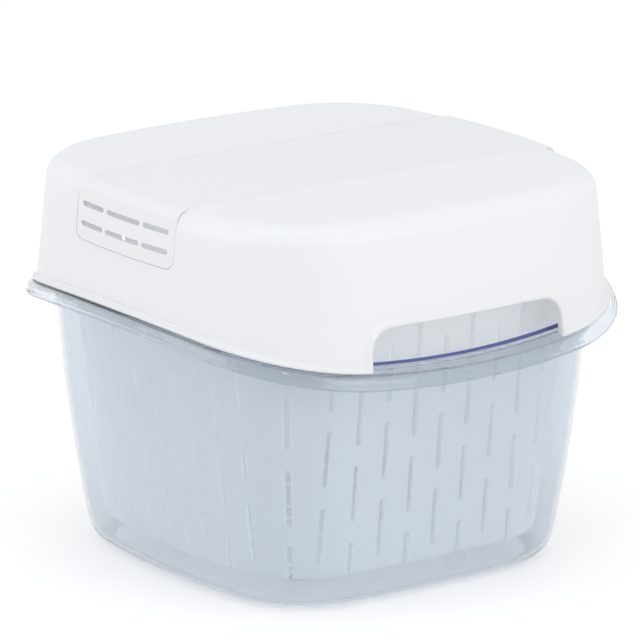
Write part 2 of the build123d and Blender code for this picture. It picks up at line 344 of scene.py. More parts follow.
links.new(camera_or_mirrored(floor_paint.node_tree), glow_level.inputs[0])
links.new(glow_level.outputs[0], glow.inputs["Strength"])
links.new(matt.outputs[0], both.inputs[0])
links.new(glow.outputs[0], both.inputs[1])
links.new(both.outputs[0], floor_out.inputs["Surface"])
floor_mesh.materials.append(floor_paint)
print("floor half width", FLOOR_HALF, "glow", FLOOR_GLOW)

# %% [markdown]
# Moulded plastic is smooth, with a slow ripple from cooling and a fine grain from the mould. Both are far
# too shallow for a mesh, so noise bump makes them, on Object coordinates. Milky plastic could be made with
# subsurface scattering, but a thin wall needs many samples for it. A share of the Translucent shader is
# cheaper: it takes light from the far side of a wall and spreads it on the near side.

# %% Moulded plastic
PLASTIC_IOR = 1.49
RIPPLE_SCALE = 60.0
RIPPLE_DEPTH = 0.002
GRAIN_SCALE = 1400.0
GRAIN_DEPTH = 0.0005
GRAIN_STRENGTH = 0.004
SHINE_SPREAD = 0.15


def plastic(name, colour, roughness, transmission=0.0, glow_through=0.0, ripple=0.02):
    """Moulded plastic: a smooth shader whose surface has a slow ripple and a fine grain from noise bump.

    glow_through is the share of a Translucent shader, which passes light on without showing what is behind.
    """
    material = bpy.data.materials.new(name)
    material.use_nodes = True
    nodes, links = material.node_tree.nodes, material.node_tree.links
    shader = nodes["Principled BSDF"]
    shader.inputs["Base Color"].default_value = (*colour, 1.0)
    shader.inputs["IOR"].default_value = PLASTIC_IOR
    shader.inputs["Transmission Weight"].default_value = transmission
    place = nodes.new("ShaderNodeTexCoord")
    slow = nodes.new("ShaderNodeTexNoise")
    slow.inputs["Scale"].default_value = RIPPLE_SCALE
    slow.inputs["Detail"].default_value = 2.0
    fine = nodes.new("ShaderNodeTexNoise")
    fine.inputs["Scale"].default_value = GRAIN_SCALE
    fine.inputs["Detail"].default_value = 3.0
    shine = nodes.new("ShaderNodeMapRange")
    shine.inputs["To Min"].default_value = roughness * (1 - SHINE_SPREAD)
    shine.inputs["To Max"].default_value = roughness * (1 + SHINE_SPREAD)
    slow_bump = nodes.new("ShaderNodeBump")
    slow_bump.inputs["Strength"].default_value = ripple
    slow_bump.inputs["Distance"].default_value = RIPPLE_DEPTH
    fine_bump = nodes.new("ShaderNodeBump")
    fine_bump.inputs["Strength"].default_value = GRAIN_STRENGTH
    fine_bump.inputs["Distance"].default_value = GRAIN_DEPTH
    links.new(place.outputs["Object"], slow.inputs["Vector"])
    links.new(place.outputs["Object"], fine.inputs["Vector"])
    links.new(slow.outputs["Fac"], shine.inputs["Value"])
    links.new(shine.outputs["Result"], shader.inputs["Roughness"])
    links.new(slow.outputs["Fac"], slow_bump.inputs["Height"])
    links.new(fine.outputs["Fac"], fine_bump.inputs["Height"])
    links.new(slow_bump.outputs["Normal"], fine_bump.inputs["Normal"])
    links.new(fine_bump.outputs["Normal"], shader.inputs["Normal"])
    if glow_through:
        milk = nodes.new("ShaderNodeBsdfTranslucent")
        milk.inputs["Color"].default_value = (*colour, 1.0)
        links.new(fine_bump.outputs["Normal"], milk.inputs["Normal"])
        blend = nodes.new("ShaderNodeMixShader")
        blend.inputs["Fac"].default_value = glow_through
        links.new(shader.outputs[0], blend.inputs[1])
        links.new(milk.outputs[0], blend.inputs[2])
        links.new(blend.outputs[0], nodes["Material Output"].inputs["Surface"])
    return material


# %% [markdown]
# Thin walls let lamp light through, and without it the inside of a closed keeper is nearly black. Caustics
# could carry that light, but they are slow and noisy. So shadow rays meet a tinted Transparent shader in
# place of the wall's own. The clear plastic's colour comes from the length of the way through it, which
# makes edges deeper.

# %% Light through walls
def let_lamps_through(material, colour):
    """Lets lamp light pass a wall as through a tinted window, so that what stands behind it is lit."""
    nodes, links = material.node_tree.nodes, material.node_tree.links
    window = nodes.new("ShaderNodeBsdfTransparent")
    window.inputs["Color"].default_value = (*colour, 1.0)
    path = nodes.new("ShaderNodeLightPath")
    choose = nodes.new("ShaderNodeMixShader")
    surface = nodes["Material Output"].inputs["Surface"]
    finish = surface.links[0].from_socket
    links.new(path.outputs["Is Shadow Ray"], choose.inputs["Fac"])
    links.new(finish, choose.inputs[1])
    links.new(window.outputs[0], choose.inputs[2])
    links.new(choose.outputs[0], surface)


def tint_by_thickness(material, colour, density):
    """Colours light by how far it goes inside the wall, so that edges look deeper than faces."""
    nodes, links = material.node_tree.nodes, material.node_tree.links
    tint = nodes.new("ShaderNodeVolumeAbsorption")
    tint.inputs["Color"].default_value = (*colour, 1.0)
    tint.inputs["Density"].default_value = density
    links.new(tint.outputs[0], nodes["Material Output"].inputs["Volume"])


# %% [markdown]
# Four finishes are enough. The lid and its band are thin white plastic with a soft gloss. The tub is clear
# with a hint of violet blue. The basket is milky: light goes through it but shapes don't. The line is a
# satin indigo. The clear plastic bends light less than a real one does, because at the real index its thick
# edges filled with black lines, and a gloss coat gives back the shine that this loses.

# %% Finishes
CLEAR_IOR = 1.18
CLEAR_COAT = 0.8
CLEAR_COAT_ROUGHNESS = 0.06

white_plastic = plastic("white_plastic", colour=(0.90, 0.91, 0.925), roughness=0.34, glow_through=0.22)
let_lamps_through(white_plastic, colour=(0.74, 0.72, 0.68))
clear_plastic = plastic(
    "clear_plastic", colour=(0.79, 0.826, 0.862), roughness=0.07, transmission=1.0, ripple=0.01,
)
clear_shader = clear_plastic.node_tree.nodes["Principled BSDF"]
clear_shader.inputs["IOR"].default_value = CLEAR_IOR
clear_shader.inputs["Coat Weight"].default_value = CLEAR_COAT
clear_shader.inputs["Coat Roughness"].default_value = CLEAR_COAT_ROUGHNESS
let_lamps_through(clear_plastic, colour=WHITE)
tint_by_thickness(clear_plastic, colour=(0.45, 0.52, 0.72), density=20.0)
milky_plastic = plastic("milky_plastic", colour=(0.95, 0.96, 0.972), roughness=0.5, glow_through=0.66)
let_lamps_through(milky_plastic, colour=(0.92, 0.925, 0.93))
indigo = plastic("indigo", colour=(0.09, 0.10, 0.34), roughness=0.4)
print("finishes:", [finish.name for finish in (white_plastic, clear_plastic, milky_plastic, indigo)])

# %% [markdown]
# A finished piece needs more than a finish: it has to ride on the body that it moves with, and to say which
# CAD nodes it stands for, so that they are hidden. One helper does all of this and prints the piece's size
# in faces.

# %% Dress a piece
def dress(piece, material, body, slot, *nodes):
    """Gives a piece its material and its body, and hides the nodes it stands for. The slot is not used."""
    piece.data.materials.clear()
    piece.data.materials.append(material)
    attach(piece, body)
    if nodes:
        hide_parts(*nodes)
    print(piece.name, len(piece.data.polygons), "faces")


# %% [markdown]
# The tub is one injection-moulded shell. It could be a thickened surface, but the flange, collar and bead
# have their own thicknesses. So it is one closed skin: from the middle of its under side out to the round
# bottom edge, up the wall, out under the flange, down the collar to the bead, back over the flange to the
# mouth, down inside and in to the middle of the floor. Each row is an outline at a height. Rows near the
# rim add the wave to their height.

# %% Tub wall and floor
def spaced(low, high, count):
    """Evenly spaced values in a column, one for each row of a grid."""
    return np.linspace(low, high, count)[:, None]


def tub_shape(z, inset):
    """Outline of the tub's wall at heights z: a straight blend from base to mouth plus a parabolic belly."""
    share = z / FLANGE_Z
    belly = 4 * TUB_BELLY * share * (1 - share)
    mouth = RIM - FLANGE_WIDTH
    return BASE + (mouth - BASE) * share[..., None] - (inset - belly)[..., None]


def rows_to_grid(shape, z):
    """Grid of points from outlines and heights, each given for every row and column."""
    xy = outline(shape, TURNS[None, :])
    return np.concatenate([xy, np.broadcast_to(z, xy.shape[:2])[..., None]], -1)


def wall_rows(low, level, inset, count):
    """Rows of the tub's wall from a height up to a level that follows the wave, at an inset from its face."""
    share = spaced(0, 1, count)
    nominal = outline(tub_shape(np.full((1, AROUND), level), np.full((1, AROUND), inset)), TURNS[None, :])
    z = low + (level + wave(nominal) - low) * share
    return rows_to_grid(tub_shape(z, np.full_like(z, inset)), z)


def round_rows(radius, inset, low, count):
    """Rows of the bottom rounding: a quarter circle from the flat under side into the wall."""
    angle = spaced(0, math.pi / 2, count)
    z = low + radius * (1 - np.cos(angle)) * np.ones((1, AROUND))
    return rows_to_grid(tub_shape(z, inset + radius * (1 - np.sin(angle)) * np.ones((1, AROUND))), z)


def disc_rows(edge, count):
    """Rows from the middle out to an edge row: its x and y times a share, at its own height."""
    share = spaced(0, 1, count)[..., None]
    return edge[None, :, :] * np.concatenate([share, share, np.ones((count, 1, 1))], -1)


FLANGE_UNDER = FLANGE_Z - FLANGE_THICK
OUTER_STOP = 1.5 * MM
INNER_STOP = 0.8 * MM
INNER_ROUND = TUB_ROUND - TUB_WALL
outer_round = round_rows(TUB_ROUND, inset=0.0, low=0.0, count=10)
inner_round = round_rows(INNER_ROUND, inset=TUB_WALL, low=TUB_FLOOR, count=10)
outer_wall = wall_rows(TUB_ROUND, FLANGE_UNDER - OUTER_STOP, inset=0.0, count=40)
inner_wall = wall_rows(INNER_ROUND + TUB_FLOOR, FLANGE_Z - INNER_STOP, inset=TUB_WALL, count=40)
print("tub wall rows:", len(outer_wall), "up to", round(outer_wall[..., 2].max() / MM, 1), "mm")

# %% [markdown]
# The flange is flat, the collar turns down from it, and a bead ends the collar. Their section is a chain of
# arcs, given as insets from the rim's outer edge and as levels. A profile swept along a curve would do, but
# here the chain is carried round the outline itself, and adding the wave to every level bends the whole rim
# at once.

# %% Rim and mouth
def rim_rows(insets, levels):
    """Rows of the rim at insets from its outer edge and at levels that the wave is added to."""
    shape = RIM - np.asarray(insets)[:, None, None]
    xy = outline(np.broadcast_to(shape, (len(insets), AROUND, 5)), TURNS[None, :])
    return np.concatenate([xy, (np.asarray(levels)[:, None] + wave(xy))[..., None]], -1)


def arc_pairs(centre_inset, centre_level, radius, start, end, count):
    """Insets and levels along an arc of a section: angle 0 points outwards and 90 degrees up."""
    angle = np.radians(np.linspace(start, end, count))
    return centre_inset - radius * np.cos(angle), centre_level + radius * np.sin(angle)


BEAD = 1.3 * MM
BEAD_LEVEL = FLANGE_Z - COLLAR_DROP + BEAD
UNDER_INSETS = np.array([13.6, 9.0, 4.6]) * MM
OVER_INSETS = np.array([9.0, 12.5]) * MM
COLLAR_INSET = 5.0 * MM
UNDER_ROUND = 2.2 * MM
OVER_ROUND = 4.2 * MM
rim_section = [
    (UNDER_INSETS, np.full(len(UNDER_INSETS), FLANGE_UNDER)),
    arc_pairs(UNDER_INSETS[-1], FLANGE_UNDER - UNDER_ROUND, UNDER_ROUND, start=80, end=10, count=6),
    arc_pairs(BEAD, BEAD_LEVEL, BEAD, start=215, end=300, count=5),
    arc_pairs(BEAD, BEAD_LEVEL, BEAD, start=-50, end=70, count=8),
    arc_pairs(COLLAR_INSET, FLANGE_Z - OVER_ROUND, OVER_ROUND, start=20, end=90, count=9),
    (OVER_INSETS, np.full(len(OVER_INSETS), FLANGE_Z)),
]
rim_part = rim_rows(*(np.concatenate(values) for values in zip(*rim_section)))
mouth_shape = tub_shape(np.full((1, AROUND), FLANGE_Z), np.zeros((1, AROUND)))
mouth_z = FLANGE_Z + wave(outline(mouth_shape, TURNS[None, :]))
MOUTH_EDGE = ((0.0, 0.0), (1.5 * MM, 0.0), (2.0 * MM, 0.25 * MM))
mouth_part = np.concatenate([
    rows_to_grid(tub_shape(mouth_z, np.full_like(mouth_z, inset)), mouth_z - drop)
    for inset, drop in MOUTH_EDGE
])
print("rim rows:", len(rim_part), "mouth between", mouth_z.min() / MM, "and", mouth_z.max() / MM, "mm")

# %% [markdown]
# All rows are now laid in one order, from the middle of the under side out and up, over the rim, and down
# and in to the middle of the floor. One grid makes one closed skin, so the clear plastic has an inside and
# an outside.

# %% Tub
TUB_DISC_ROWS = 6
tub_grid = np.concatenate([
    disc_rows(outer_round[0], TUB_DISC_ROWS)[:-1], outer_round[:-1], outer_wall, rim_part, mouth_part,
    inner_wall[::-1], inner_round[:-1][::-1], disc_rows(inner_round[0], TUB_DISC_ROWS)[:-1][::-1],
])
tub = piece_from_grids("tub_shell", [closed_around(tub_grid)], sharp=50)
dress(tub, clear_plastic, "tub", "clear_plastic", "tub")

# %% [markdown]
# The coloured line is a thin ring that lies on the flange just outside the mouth. It could be painted on by
# a texture, but in the cut-out it is seen almost edge-on, where only a raised band keeps its height. Its
# section is a small rounded bar, carried round the rim's outline with the wave added.

# %% Coloured line
LINE_INSET = 16.0 * MM
LINE_HALF = 0.8 * MM
LINE_HEIGHT = 1.5 * MM
LINE_LIFT = 0.1 * MM
LINE_POINTS = 17
bar_angle = np.linspace(0, 2 * math.pi, LINE_POINTS)
bar_insets = LINE_INSET - LINE_HALF * np.cos(bar_angle)
bar_levels = FLANGE_Z + LINE_LIFT + LINE_HEIGHT / 2 * (1 + np.sin(bar_angle))
rim_line = piece_from_grids("rim_line_band", [closed_around(rim_rows(bar_insets, bar_levels))])
dress(rim_line, indigo, "tub", "coloured_line", "rim_line")

# %% [markdown]
# The basket is a strainer that holds washed food clear of the water. It is a second closed skin, parallel
# to the tub and lifted off its floor, made from one grid as the tub is, with a small rim turned out round
# its top.

# %% Basket wall and floor
WALL_ROWS = 24
ROUND_ROWS = 5
BASKET_DISC_ROWS = 8
BASKET_RIM = 3.0 * MM
BASKET_RIM_THICK = 2.4 * MM
BASKET_ROUND = 3.0 * MM
BASKET_EASE = 0.6 * MM
RIM_STEP = 0.1 * MM


def basket_shape(z, inset):
    """Outline of the basket's wall at heights z, parallel to the tub's wall without its belly."""
    share = (z - BASKET_LOW) / (FLANGE_Z - BASKET_LOW)
    base = BASE + (RIM - FLANGE_WIDTH - BASE) * (BASKET_LOW / FLANGE_Z)
    low = base - TUB_WALL - BASKET_GAP_LOW
    high = RIM - FLANGE_WIDTH - TUB_WALL - BASKET_GAP_HIGH
    return low + (high - low) * share[..., None] - inset[..., None]


def basket_rows(z, inset):
    """Rows of the basket from heights and insets."""
    z = np.asarray(z, float)[:, None] * np.ones((1, AROUND))
    inset = np.asarray(inset, float)[:, None] * np.ones((1, AROUND))
    return rows_to_grid(basket_shape(z, inset), z)


turn = np.linspace(0, math.pi / 2, ROUND_ROWS)
wall_z = np.linspace(BASKET_LOW + BASKET_ROUND, BASKET_TOP - BASKET_RIM_THICK, WALL_ROWS)
rim_out = [0.0, -BASKET_RIM + BASKET_EASE, -BASKET_RIM, -BASKET_RIM, -BASKET_RIM + BASKET_EASE]
rim_in = [BASKET_WALL - BASKET_EASE, BASKET_WALL]
rim_drop = np.array([
    BASKET_RIM_THICK - RIM_STEP, BASKET_RIM_THICK, BASKET_RIM_THICK - BASKET_EASE,
    BASKET_EASE, 0, 0, BASKET_EASE,
])
outer_inset = np.concatenate([BASKET_ROUND * (1 - np.sin(turn)), np.zeros(WALL_ROWS - 1), rim_out, rim_in])
outer_z = np.concatenate([BASKET_LOW + BASKET_ROUND * (1 - np.cos(turn)), wall_z[1:], BASKET_TOP - rim_drop])
outer = basket_rows(outer_z, outer_inset)
inner_z = np.linspace(BASKET_TOP - 2 * BASKET_EASE, BASKET_LOW + BASKET_FLOOR, WALL_ROWS)
inner = basket_rows(inner_z, np.full(WALL_ROWS, BASKET_WALL))
under_side = disc_rows(outer[0], BASKET_DISC_ROWS)[:-1]
floor_side = disc_rows(inner[-1], BASKET_DISC_ROWS)[:-1][::-1]
basket_grid = np.concatenate([under_side, outer, inner, floor_side])
basket = piece_from_grids("basket_shell", [closed_around(basket_grid)], sharp=40)
print("basket faces before the slots:", len(basket.data.polygons))

# %% [markdown]
# Openings are cut by booleans. The cutters are closed prisms: a flat loop, the same loop carried along a
# direction, quads between the two and a cap on each. Many prisms in one mesh need only one boolean, which
# keeps it quick.

# %% Cutters
def prism_mesh(name, loops, directions):
    """Closed prisms in one mesh: each loop of points is carried along its own direction and capped."""
    points, faces, start = [], [], 0
    for loop, direction in zip(loops, directions):
        count = len(loop)
        points += [loop, loop + direction]
        near = np.arange(count) + start
        far = near + count
        faces += np.stack([near, np.roll(near, -1), np.roll(far, -1), far], -1).tolist()
        faces += [near[::-1].tolist(), far.tolist()]
        start += 2 * count
    mesh = bpy.data.meshes.new(name)
    mesh.from_pydata(np.concatenate(points).tolist(), [], faces)
    return finish_mesh(name, mesh)


def carve(piece, cutter):
    """Cuts the cutter out of the piece and removes the cutter."""
    modifier = piece.modifiers.new("carve", "BOOLEAN")
    modifier.operation = "DIFFERENCE"
    modifier.solver = "EXACT"
    modifier.object = cutter
    carved = bpy.data.meshes.new_from_object(piece.evaluated_get(bpy.context.evaluated_depsgraph_get()))
    piece.modifiers.clear()
    piece.data = carved
    bpy.data.objects.remove(cutter)
    carved.polygons.foreach_set("use_smooth", [True] * len(carved.polygons))
    carved.set_sharp_from_angle(angle=math.radians(SHARP))


# %% [markdown]
# The slots stand in forty columns, every second column shifted by half a step, and the lowest slots of the
# unshifted columns run out through the bottom edge. A see-through pattern would show no wall thickness in
# them, so they are cut by prisms with round ends that point outwards all round.

# %% Wall slots
SLOT_WIDTH = 3.1 * MM
SLOT_LENGTH = 30.5 * MM
SLOT_PITCH = 16.6 * MM
SLOT_RISE = 41.2 * MM
LOW_ROW = 18.4 * MM
SIDE_COLUMNS = 9
SHIFTED_ROWS = 3
STRAIGHT_ROWS = 4
START_INSET = 10.0 * MM
SIDE_REACH = 30.0 * MM
CORNER_REACH = 40.0 * MM
SLOT_END_POINTS = 7


def stadium(length, width):
    """Closed loop with two straight sides and two half circles, upright and centred on the origin."""
    half = np.linspace(0, math.pi, SLOT_END_POINTS)
    top = np.stack([np.cos(half), np.sin(half)], -1) * width / 2 + [0, (length - width) / 2]
    return np.concatenate([top, -top])


def upright_prism(flat_loop, origin, angle, reach):
    """A flat loop stood upright at an origin, facing outwards, with the vector that carries it."""
    across = np.array([-math.sin(angle), math.cos(angle), 0])
    outward = np.array([math.cos(angle), math.sin(angle), 0])
    up = np.array([0, 0, 1])
    return origin + flat_loop[:, :1] * across + flat_loop[:, 1:] * up, outward * reach


low_outline = basket_shape(np.array([BASKET_LOW]), np.array([START_INSET]))[0]
corner_point = outline(low_outline, np.array([(SHARE_X + SHARE_Y) / 2]))[0]
slot_loop = stadium(SLOT_LENGTH, SLOT_WIDTH)
loops, reaches = [], []
for quarter in range(4):
    angle = quarter * math.pi / 2
    half = low_outline[quarter % 2]
    cos, sin = math.cos(angle), math.sin(angle)
    for column in range(SIDE_COLUMNS):
        across = (column - (SIDE_COLUMNS - 1) / 2) * SLOT_PITCH
        shifted = column % 2 == 0
        for row in range(SHIFTED_ROWS if shifted else STRAIGHT_ROWS):
            z = LOW_ROW + (row + shifted / 2) * SLOT_RISE
            origin = np.array([cos * half - sin * across, sin * half + cos * across, z])
            loop, reach = upright_prism(slot_loop, origin, angle, SIDE_REACH)
            loops.append(loop)
            reaches.append(reach)
    corner_angle = angle + math.pi / 4
    sign = np.sign([math.cos(corner_angle), math.sin(corner_angle)])
    for row in range(STRAIGHT_ROWS):
        origin = np.array([*(corner_point * sign), LOW_ROW + row * SLOT_RISE])
        loop, reach = upright_prism(slot_loop, origin, corner_angle, CORNER_REACH)
        loops.append(loop)
        reaches.append(reach)
print("wall slots:", len(loops))

# %% [markdown]
# The floor is slotted too, so that water drains. Slots that would meet a foot are left out. All slots, in
# wall and floor, are then cut at once.

# %% Floor slots
FLOOR_SLOT = 28.0 * MM
FLOOR_ROW = 36.0 * MM
FLOOR_ROWS = 4
CUT_PAST = 2.0 * MM
FOOT_AT = 50.0 * MM
FOOT_RADIUS = 6.0 * MM
floor_loop = stadium(FLOOR_SLOT, SLOT_WIDTH)
for column in range(SIDE_COLUMNS):
    for row in range(FLOOR_ROWS):
        middle = np.array([
            (column - (SIDE_COLUMNS - 1) / 2) * SLOT_PITCH,
            (row - (FLOOR_ROWS - 1) / 2) * FLOOR_ROW,
        ])
        past_end = max(0, abs(abs(middle[1]) - FOOT_AT) - FLOOR_SLOT / 2)
        if np.hypot(abs(middle[0]) - FOOT_AT, past_end) >= 2 * FOOT_RADIUS:
            below = np.full(len(floor_loop), BASKET_LOW - CUT_PAST)
            loops.append(np.column_stack([floor_loop + middle, below]))
            reaches.append(np.array([0, 0, BASKET_FLOOR + 2 * CUT_PAST]))
carve(basket, prism_mesh("slot_cutters", loops, reaches))
dress(basket, milky_plastic, "basket", "frosted_plastic", "basket")

# %% [markdown]
# Four short round feet hold the basket clear of the tub's floor. A foot is a profile turned about its own
# axis, with an eased lower edge, and its top reaches a little into the basket's floor so that no gap shows.

# %% Basket feet
FOOT_POINTS = 25
FOOT_EASE = 1.0 * MM
FOOT_OVERLAP = 0.5 * MM
foot_turn = np.linspace(0, 2 * math.pi, FOOT_POINTS)
foot_top = BASKET_LOW + FOOT_OVERLAP - TUB_FLOOR
foot_rows = [
    (0.0, 0.0), (FOOT_RADIUS - FOOT_EASE, 0.0), (FOOT_RADIUS, FOOT_EASE),
    (FOOT_RADIUS, foot_top), (0.0, foot_top),
]
foot_round = np.column_stack([np.cos(foot_turn), np.sin(foot_turn)])
foot_grids = []
for x in (-FOOT_AT, FOOT_AT):
    for y in (-FOOT_AT, FOOT_AT):
        rings = [
            np.column_stack([foot_round * radius + [x, y], np.full(FOOT_POINTS, TUB_FLOOR + z)])
            for radius, z in foot_rows
        ]
        foot_grids.append(np.stack(rings))
feet = piece_from_grids("basket_feet", foot_grids)
dress(feet, milky_plastic, "basket", "frosted_plastic")

# %% [markdown]
# The hood is a drafted wall, a round edge and a nearly flat crown that is part of a very large sphere. In
# the upright section through any point of the outline, the round edge is an arc that touches the wall below
# it and the crown above it. A bevel on a box could round it too, but not with a wall that leans and bows. A
# skin further in keeps the arc's centre and only loses radius, so walls have an even thickness.

# %% Round edge of the hood
CROWN_RADIUS = (RIM[0] - LID_INSET - LID_ROUND) ** 2 / (2 * CROWN_RISE)
CROWN_CENTRE = LID_TOP - CROWN_RADIUS
WALL_TILT = math.atan(LID_DRAFT)
CENTRE_ROUNDS = 4
print("crown radius", round(CROWN_RADIUS, 2), "m, wall tilt", round(math.degrees(WALL_TILT), 1), "degrees")


def wall_inset(z):
    """Inset of the hood's wall at a height."""
    return LID_INSET + LID_DRAFT * (z - FLANGE_Z)


def edge_arc(place, radius):
    """Centre of the round edge, as inset and height, and its end angle, for each column.

    place(inset) gives the column's point at an inset. The centre is found by turns: its inset from the wall
    and its height from the crown.
    """
    z = np.full(len(place(0.0)), LID_TOP - CROWN_RISE - radius)
    for _ in range(CENTRE_ROUNDS):
        inset = wall_inset(z + radius * math.sin(WALL_TILT)) + radius * math.cos(WALL_TILT)
        tilt = np.arcsin(np.linalg.norm(place(inset), axis=-1) / (CROWN_RADIUS - radius))
        z = CROWN_CENTRE + (CROWN_RADIUS - radius) * np.cos(tilt)
    return inset, z, math.pi / 2 - tilt


def arc_rows(place, skin, radius, count):
    """Rows over the round edge, from the wall's top to the crown's edge, at a skin depth for each column."""
    inset_c, z_c, end = edge_arc(place, radius)
    rows = []
    for share in np.linspace(0, 1, count):
        turn = WALL_TILT + (end - WALL_TILT) * share
        inset = inset_c - (radius - skin) * np.cos(turn)
        rows.append(np.column_stack([place(inset), z_c + (radius - skin) * np.sin(turn)]))
    return np.stack(rows)


def wall_up_rows(place, skin, low, top, count):
    """Rows up the hood's wall between two heights, at a skin depth for each column."""
    heights = low + (top - low) * np.linspace(0, 1, count)[:, None]
    return np.stack([np.column_stack([place(wall_inset(z) + skin), z]) for z in heights])


# %% [markdown]
# The hood is made twice from the same three stretches, wall, edge and crown: once as the outer skin and
# once, at the wall's thickness, as the inner one. A Solidify modifier would do nearly the same, but the
# lower edge has to end level on the waved rim.

# %% Hood
def crown_height(xy, skin):
    """Height of the crown's sphere over a point."""
    return CROWN_CENTRE + np.sqrt((CROWN_RADIUS - skin) ** 2 - (xy ** 2).sum(-1))


def on_outline(inset):
    """Points of the rim's outline at insets given for each column."""
    return outline(RIM - np.broadcast_to(np.asarray(inset, float), (AROUND,))[:, None], TURNS)


def hood_skin(skin, low, wall_count, arc_count, crown_count):
    """Whole skin of the hood from its lower edge to the middle of the crown."""
    arc = arc_rows(on_outline, skin, LID_ROUND, arc_count)
    wall = wall_up_rows(on_outline, skin, low, arc[0, :, 2], wall_count)
    crown = []
    for share in np.linspace(1, 0, crown_count)[1:]:
        xy = arc[-1, :, :2] * share
        crown.append(np.column_stack([xy, crown_height(xy, skin)]))
    return np.concatenate([wall, arc[1:], np.stack(crown)])


foot_line = SEAT_Z + wave(on_outline(LID_INSET))
outer_skin = hood_skin(0.0, foot_line, wall_count=40, arc_count=20, crown_count=40)
inner_skin = hood_skin(LID_WALL, foot_line, wall_count=30, arc_count=12, crown_count=20)
lid = piece_from_grids("lid_hood", [closed_around(np.concatenate([inner_skin[::-1], outer_skin]))])
print("lid top at", round(outer_skin[..., 2].max() / MM, 2), "mm")

# %% [markdown]
# Two hand cut-outs open downwards in the +X and -X walls, so that the fingers reach the tub's rim. One
# arch-shaped prism cuts both, which gives them straight jambs and round upper corners. Its edges lie inside
# the lip that is added later.

# %% Hand cut-outs
GRIP_HALF = 59.1 * MM
GRIP_TOP = 151.6 * MM
GRIP_CORNER = 12.0 * MM
LIP_HEIGHT = 1.2 * MM
REACH = 170.0 * MM


def arch(grow, low, count=13):
    """Points along the cut-out's arch, from the foot of one jamb over the top to the foot of the other."""
    half, top, radius = GRIP_HALF + grow, GRIP_TOP + grow, GRIP_CORNER + grow
    turn = np.linspace(0, math.pi / 2, count)
    right = np.stack([half - radius + radius * np.cos(turn), top - radius + radius * np.sin(turn)], -1)
    left = right[::-1] * [-1, 1]
    return np.concatenate([[[half, low]], right, left, [[-half, low]]])


HOOD_LOW = 110.0 * MM
LIP_OVERLAP = 0.6 * MM
flat_arch = arch(LIP_OVERLAP, HOOD_LOW)
arch_loop = np.column_stack([np.full(len(flat_arch), -REACH), flat_arch])
carve(lid, prism_mesh("grip_cutter", [arch_loop], [np.array([2 * REACH, 0, 0])]))
print("hood faces with the cut-outs:", len(lid.data.polygons))

# %% [markdown]
# The vent band lies in a recess that runs over the lid from panel to panel. It could be cut by a plain box,
# but the band bends more tightly than the hood at its edges. So one function makes a slab that follows the
# hood with that tight bend. It cuts the recess here, closes the hood below it as a pad where the bend
# stands proud of the hood, and makes the band itself later.

# %% Recess and pad
BAND_HALF = 43.5 * MM
BAND_LOW = 174.9 * MM
BAND_CORNER = 6.0 * MM
BAND_ROUND = 5.5 * MM
BAND_SEAT_GAP = 0.2 * MM
BAND_THICK = 1.4 * MM
BAND_SEAM = 0.4 * MM
ACROSS_POINTS = 49
EDGE_POINTS = 6
CORNER_ROWS = 10
PANEL_ROWS = 8
BEND_ROWS = 14
TOP_ROWS = 36


def band_columns(x):
    """place(inset) for columns at given x on the -Y side: the Y side's arc solved for y."""
    def place(inset):
        inset = np.broadcast_to(np.asarray(inset, float), x.shape)
        y = -(RIM[1] - RIM[3]) - np.sqrt((RIM[3] - inset) ** 2 - x ** 2)
        return np.stack([x, y], -1)
    return place


def band_slab(name, grow, skin_out, skin_in, edge):
    """Closed slab that follows the hood from vent panel to vent panel, with the band's own tight bend.

    Its section is a flat bar with eased long edges, from skin_out to skin_in. Near the panel's lower end the
    bar narrows along a quarter circle, which rounds the panel's lower corners.
    """
    half, low, corner = BAND_HALF + grow, BAND_LOW - grow, BAND_CORNER + grow
    flat = np.linspace(-1, 1, ACROSS_POINTS)
    side = np.linspace(skin_out + edge, skin_in - edge, EDGE_POINTS)
    face, flank = np.ones(ACROSS_POINTS), np.ones(EDGE_POINTS)
    across = np.concatenate([flat, flank, flat[::-1], -flank, flat[:1]])
    depth = np.concatenate([face * skin_out, side, face * skin_in, side[::-1], [skin_out]])
    eased = np.concatenate([face * edge, flank * 0, face * edge, flank * 0, [edge]])
    turn = np.linspace(0, math.pi / 2, CORNER_ROWS)
    widths = half - corner + corner * np.sin(turn)
    heights = low + corner * (1 - np.cos(turn))
    bottom = np.full(len(across), low)
    tip = wall_up_rows(band_columns(across * (widths[0] - edge)), (skin_out + skin_in) / 2, bottom, low, 1)
    ends = [
        wall_up_rows(band_columns(across * (width - eased)), depth, np.full(len(across), z), z, 1)
        for width, z in zip(widths, heights)
    ]
    place = band_columns(across * (half - eased))
    arc = arc_rows(place, depth, BAND_ROUND, BEND_ROWS)
    wall = wall_up_rows(place, depth, np.full(len(across), heights[-1]), arc[0, :, 2], PANEL_ROWS)
    crown = []
    for share in np.linspace(1, 0, TOP_ROWS)[1:]:
        xy = arc[-1, :, :2] * [1, share]
        crown.append(np.column_stack([xy, crown_height(xy, depth)]))
    near = np.concatenate([tip, *ends, wall[1:], arc[1:], np.stack(crown)])
    return piece_from_grids(name, [np.concatenate([near, near[-2::-1] * [1, -1, 1]])], sharp=40)


SEAT_SKIN = BAND_THICK + BAND_SEAT_GAP
PAD_CLEARANCE = 0.05 * MM
carve(lid, band_slab("recess_cutter", BAND_SEAM, -LIP_HEIGHT, SEAT_SKIN, 0.0))
pad = band_slab("lid_pad", BAND_SEAM, SEAT_SKIN + PAD_CLEARANCE, LID_WALL - PAD_CLEARANCE, 0.0)
print("hood faces with the recess:", len(lid.data.polygons))

# %% [markdown]
# The hood is open behind the band's slots, so that air passes. One rounded bar, wider than the slots
# together, cuts the window through hood and pad on both panels. A window for each slot would have to line
# up with it exactly.

